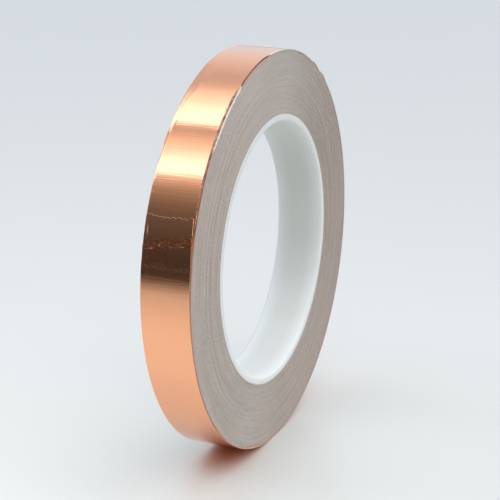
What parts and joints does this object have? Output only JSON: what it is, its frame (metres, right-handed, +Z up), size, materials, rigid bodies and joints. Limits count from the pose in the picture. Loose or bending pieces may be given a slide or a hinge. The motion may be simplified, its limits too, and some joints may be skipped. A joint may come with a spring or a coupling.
{
  "type": "copper foil tape roll",
  "caption": "Roll of self-adhesive copper foil tape with a paper liner, wound on a plastic core, standing on its rim with a creased pull tab.",
  "frame": {"origin": "centre of the core's bore, half way across the tape's width; the roll stands on its rim, so the origin is one radius above the surface it stands on", "axes": "+Y along the roll's axis towards the back, +Z up, -Y is the front side; the free end is on the left, at -X, and points up"},
  "size_m": [0.1199, 0.0161, 0.12],
  "materials": {
    "copper_foil": "polished",
    "adhesive": "satin",
    "liner_paper": "satin",
    "wound_edges": "matte",
    "core_plastic": "satin",
    "anchor_tape": "matte"
  },
  "bodies": {
    "roll": {"core": "core_plastic", "core_anchor_tape": "anchor_tape", "first_turn_foil": "copper_foil", "first_turn_adhesive": "adhesive", "first_turn_liner": "liner_paper", "wound_turns": "wound_edges", "outer_turn_foil": "copper_foil", "outer_turn_adhesive": "adhesive", "outer_turn_liner": "liner_paper"},
    "tab_backing": {"tab_liner": "liner_paper"},
    "foil_flap": {"tab_foil": "copper_foil", "tab_adhesive": "adhesive"}
  },
  "joints": [
    {"name": "tab_lift", "type": "hinge", "parent": "roll", "child": "tab_backing", "pos_m": [-0.05799, 0, 0.01528], "axis": [0.0322, -0.9916, 0.1255], "range_deg": [0, 95]},
    {"name": "foil_peel", "type": "hinge", "parent": "tab_backing", "child": "foil_flap", "pos_m": [-0.05799, 0, 0.01528], "axis": [0.0322, -0.9916, 0.1255], "range_deg": [0, 70]}
  ]
}
